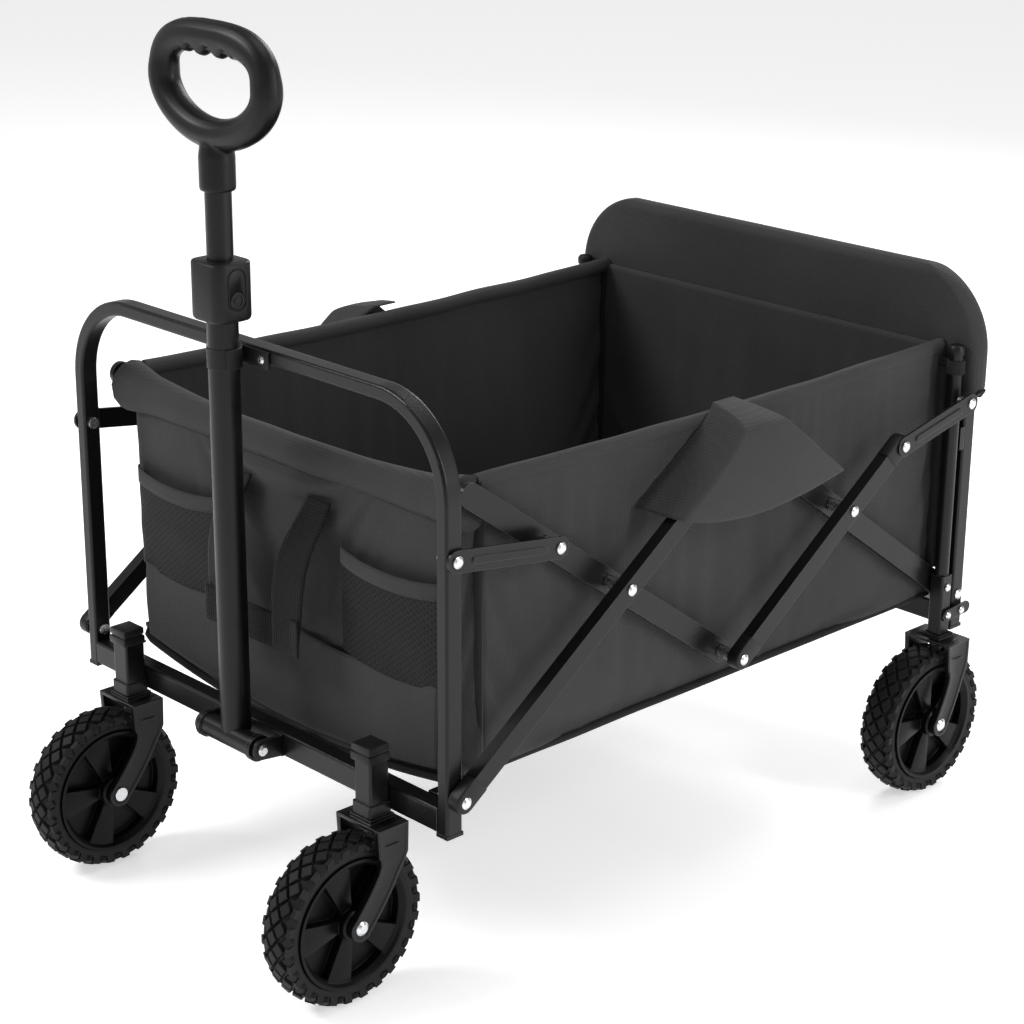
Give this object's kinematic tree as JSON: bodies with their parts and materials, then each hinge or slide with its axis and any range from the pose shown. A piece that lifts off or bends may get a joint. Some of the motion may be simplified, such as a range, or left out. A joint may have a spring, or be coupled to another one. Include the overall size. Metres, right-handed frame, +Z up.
{
  "type": "folding camp wagon",
  "caption": "Folding camp wagon: tubular end frames on scissor side struts, hung fabric basket, swivelling front wheels and a telescoping pull handle with an O-shaped grip.",
  "frame": {"origin": "floor level, under the middle of the wagon's length from front tyre to rear tyre and the middle of its width", "axes": "+X across the wagon's width, +Y from the handle end to the rear, +Z up"},
  "size_m": [0.644, 0.968, 0.925],
  "materials": {
    "powder_coat": "satin powder coat",
    "zinc": "bright zinc plate",
    "moulded_black": "moulded, fine texture",
    "hub_plastic": "moulded, satin",
    "tyre_rubber": "matt",
    "grip_plastic": "soft-touch",
    "oxford_cloth": "plain oxford weave",
    "pocket_mesh": "open knit mesh",
    "webbing": "ribbed webbing"
  },
  "bodies": {
    "front": {"front_frame": "powder_coat", "front_crossbar": "powder_coat", "front_posts": "powder_coat", "front_end_caps": "moulded_black", "corner_brackets": "powder_coat", "handle_bracket": "powder_coat", "handle_clip": "moulded_black", "front_fasteners": "zinc", "front_wall": "oxford_cloth", "front_pockets": "pocket_mesh", "pull_strap": "webbing", "side_wall_left": "oxford_cloth", "side_wall_right": "oxford_cloth", "base_mat": "oxford_cloth"},
    "handle": {"handle_tube": "powder_coat", "handle_pivot_sleeve": "powder_coat", "handle_band": "moulded_black", "lock_collar": "moulded_black"},
    "handle_inner": {"handle_inner_tube": "powder_coat", "handle_grip": "grip_plastic"},
    "lock_button": {"lock_button": "moulded_black"},
    "front_long_struts": {"front_long_strut_left": "powder_coat", "front_long_strut_right": "powder_coat", "front_strut_bolts": "zinc"},
    "front_cross_struts": {"front_cross_strut_left": "powder_coat", "front_cross_strut_right": "powder_coat"},
    "rear_long_struts": {"rear_long_strut_left": "powder_coat", "rear_long_strut_right": "powder_coat"},
    "rear_cross_struts": {"rear_cross_strut_left": "powder_coat", "rear_cross_strut_right": "powder_coat", "rear_strut_bolts": "zinc"},
    "front_braces": {"front_brace_left": "powder_coat", "front_brace_right": "powder_coat", "front_brace_bolts": "zinc"},
    "rear_braces": {"rear_brace_left": "powder_coat", "rear_brace_right": "powder_coat", "rear_brace_bolts": "zinc"},
    "rear": {"rear_frame": "powder_coat", "rear_crossbar": "powder_coat", "rear_posts": "powder_coat", "rear_poles": "powder_coat", "rear_brackets": "powder_coat", "rear_end_caps": "moulded_black", "rear_fasteners": "zinc", "rear_wall": "oxford_cloth", "rear_fork_left": "powder_coat", "rear_fork_right": "powder_coat", "rear_axles": "zinc"},
    "front_left_caster": {"front_fork_left": "powder_coat", "front_axle_left": "zinc"},
    "front_right_caster": {"front_fork_right": "powder_coat", "front_axle_right": "zinc"},
    "front_left_wheel": {"front_tyre_left": "tyre_rubber", "front_hub_left": "hub_plastic"},
    "front_right_wheel": {"front_tyre_right": "tyre_rubber", "front_hub_right": "hub_plastic"},
    "rear_left_wheel": {"rear_tyre_left": "tyre_rubber", "rear_hub_left": "hub_plastic"},
    "rear_right_wheel": {"rear_tyre_right": "tyre_rubber", "rear_hub_right": "hub_plastic"}
  },
  "joints": [
    {"name": "fold", "type": "hinge", "parent": "front", "child": "front_long_struts", "pos_m": [0, -0.3345, 0.22879], "axis": [1, 0, 0], "range_deg": [0, 40], "deforming": ["side_wall_left", "side_wall_right", "base_mat"]},
    {"name": "front_cross_turn", "type": "hinge", "parent": "front_long_struts", "child": "front_cross_struts", "pos_m": [0, -0.1155, 0.385], "axis": [1, 0, 0], "range_deg": [-80, 0]},
    {"name": "rear_long_turn", "type": "hinge", "parent": "front_long_struts", "child": "rear_long_struts", "pos_m": [0, 0.0555, 0.50697], "axis": [1, 0, 0], "range_deg": [-80, 0]},
    {"name": "rear_cross_turn", "type": "hinge", "parent": "rear_long_struts", "child": "rear_cross_struts", "pos_m": [0, 0.2265, 0.385], "axis": [1, 0, 0], "range_deg": [0, 80]},
    {"name": "rear_frame_turn", "type": "hinge", "parent": "rear_long_struts", "child": "rear", "pos_m": [0, 0.4455, 0.22879], "axis": [1, 0, 0], "range_deg": [0, 40]},
    {"name": "front_brace_turn", "type": "hinge", "parent": "front", "child": "front_braces", "pos_m": [0, -0.3345, 0.466], "axis": [1, 0, 0], "range_deg": [0, 80.4]},
    {"name": "rear_brace_turn", "type": "hinge", "parent": "rear", "child": "rear_braces", "pos_m": [0, 0.4205, 0.466], "axis": [1, 0, 0], "range_deg": [-93.2, 0]},
    {"name": "handle_swing", "type": "hinge", "parent": "front", "child": "handle", "pos_m": [0, -0.3715, 0.206], "axis": [1, 0, 0], "range_deg": [0, 100]},
    {"name": "handle_telescope", "type": "slide", "parent": "handle", "child": "handle_inner", "axis": [0, 0, 1], "range_m": [0, 0.28]},
    {"name": "lock_press", "type": "slide", "parent": "handle", "child": "lock_button", "axis": [-1, 0, 0], "range_m": [0, 0.0035], "stiffness_N_per_m": 600},
    {"name": "front_left_swivel", "type": "hinge", "parent": "front", "child": "front_left_caster", "pos_m": [-0.2, -0.3565, 0.19], "axis": [0, 0, 1], "continuous": true},
    {"name": "front_left_wheel_spin", "type": "hinge", "parent": "front_left_caster", "child": "front_left_wheel", "pos_m": [-0.2, -0.3965, 0.0875], "axis": [1, 0, 0], "continuous": true},
    {"name": "front_right_swivel", "type": "hinge", "parent": "front", "child": "front_right_caster", "pos_m": [0.2, -0.3565, 0.19], "axis": [0, 0, 1], "continuous": true},
    {"name": "front_right_wheel_spin", "type": "hinge", "parent": "front_right_caster", "child": "front_right_wheel", "pos_m": [0.2, -0.3965, 0.0875], "axis": [1, 0, 0], "continuous": true},
    {"name": "rear_left_wheel_spin", "type": "hinge", "parent": "rear", "child": "rear_left_wheel", "pos_m": [-0.289, 0.3965, 0.0875], "axis": [1, 0, 0], "continuous": true},
    {"name": "rear_right_wheel_spin", "type": "hinge", "parent": "rear", "child": "rear_right_wheel", "pos_m": [0.289, 0.3965, 0.0875], "axis": [1, 0, 0], "continuous": true}
  ],
  "couplings": [
    {"joint": "front_cross_turn", "follows": "fold", "ratio": -2},
    {"joint": "rear_long_turn", "follows": "fold", "ratio": -2},
    {"joint": "rear_cross_turn", "follows": "fold", "ratio": 2},
    {"joint": "rear_frame_turn", "follows": "fold", "ratio": 1},
    {"joint": "front_brace_turn", "follows": "fold", "ratio": 2.01},
    {"joint": "rear_brace_turn", "follows": "fold", "ratio": -2.33}
  ]
}
